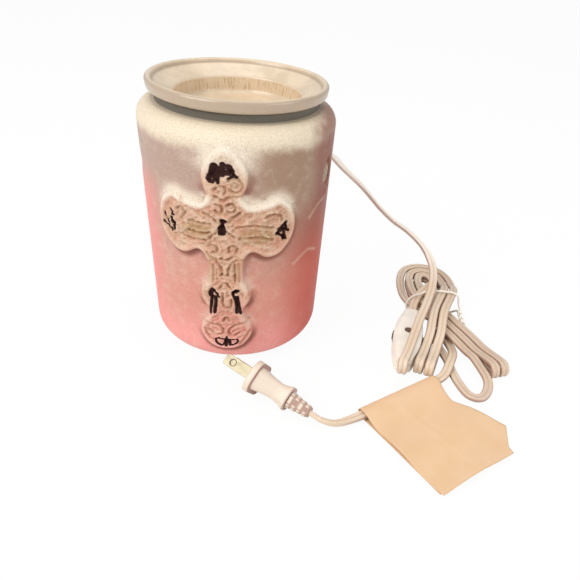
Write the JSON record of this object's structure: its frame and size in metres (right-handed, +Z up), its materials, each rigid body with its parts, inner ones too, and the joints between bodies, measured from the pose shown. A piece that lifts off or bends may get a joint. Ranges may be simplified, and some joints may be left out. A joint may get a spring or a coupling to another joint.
{
  "type": "electric wax warmer",
  "caption": "Glazed ceramic jar with a raised cross and teardrop vents, lift-out wax dish, lamp inside, flat cord with roller switch, tied hank, tag and plug.",
  "frame": {"origin": "on the table, under the middle of the jar", "axes": "+Z up along the jar's axis; the raised cross faces -Y; the hank and switch lie towards +X"},
  "size_m": [0.2161, 0.2109, 0.1503],
  "materials": {
    "crackle_glaze": "satin crackle glaze, cream to rose",
    "dish_glaze": "glossy cream glaze",
    "black_steel": "black paint on sheet steel",
    "zinc_steel": "bright zinc plate",
    "rubber": "matt black rubber",
    "phenolic": "moulded dark phenolic",
    "brass": "bright pressed brass",
    "nickel": "nickel plate",
    "clear_glass": "clear blown glass",
    "cream_plastic": "moulded cream vinyl",
    "cord_vinyl": "extruded cream vinyl",
    "brown_plastic": "moulded dark brown plastic",
    "tag_paper": "plain yellowed paper"
  },
  "bodies": {
    "warmer": {"jar_body": "crackle_glaze", "base_plate": "black_steel", "foot_1": "rubber", "foot_2": "rubber", "foot_3": "rubber", "foot_4": "rubber", "lamp_bracket": "zinc_steel", "clamp_screw_1": "zinc_steel", "clamp_screw_2": "zinc_steel", "clamp_nut_1": "zinc_steel", "clamp_nut_2": "zinc_steel", "holder_screw": "zinc_steel", "lamp_holder": "phenolic", "thread_shell": "brass", "centre_contact": "brass", "cord_boot": "cream_plastic", "cord_lead": "cord_vinyl", "cord_hank": "cord_vinyl", "cord_tail": "cord_vinyl", "switch_base": "cream_plastic", "switch_cover": "cream_plastic", "switch_pin": "brown_plastic", "switch_screw_1": "zinc_steel", "switch_screw_2": "zinc_steel", "hank_tie": "cream_plastic", "cord_tag": "tag_paper", "plug_body": "cream_plastic", "plug_relief": "cream_plastic", "plug_blade_1": "nickel", "plug_blade_2": "nickel"},
    "dish": {"wax_dish": "dish_glaze"},
    "lamp_lift": {"lamp_tip": "nickel"},
    "lamp": {"lamp_insulator": "phenolic", "lamp_cap": "brass", "lamp_glass": "clear_glass", "lamp_stem": "clear_glass", "filament_wire_1": "nickel", "filament_wire_2": "nickel", "filament": "nickel"},
    "wheel": {"switch_wheel": "brown_plastic"}
  },
  "joints": [
    {"name": "dish_lift", "type": "slide", "parent": "warmer", "child": "dish", "axis": [0, 0, 1], "range_m": [0, 0.09]},
    {"name": "lamp_rise", "type": "slide", "parent": "warmer", "child": "lamp_lift", "axis": [0, 0, 1], "range_m": [0, 0.0077]},
    {"name": "lamp_turn", "type": "hinge", "parent": "lamp_lift", "child": "lamp", "pos_m": [0, 0, 0.05], "axis": [0, 0, 1], "range_deg": [0, 1080]},
    {"name": "switch_wheel_turn", "type": "hinge", "parent": "warmer", "child": "wheel", "pos_m": [0.1068, -0.0205, 0.0066], "axis": [0, 0, 1], "continuous": true}
  ],
  "couplings": [
    {"joint": "lamp_rise", "follows": "lamp_turn", "m_per_rad": 0.00040425}
  ]
}
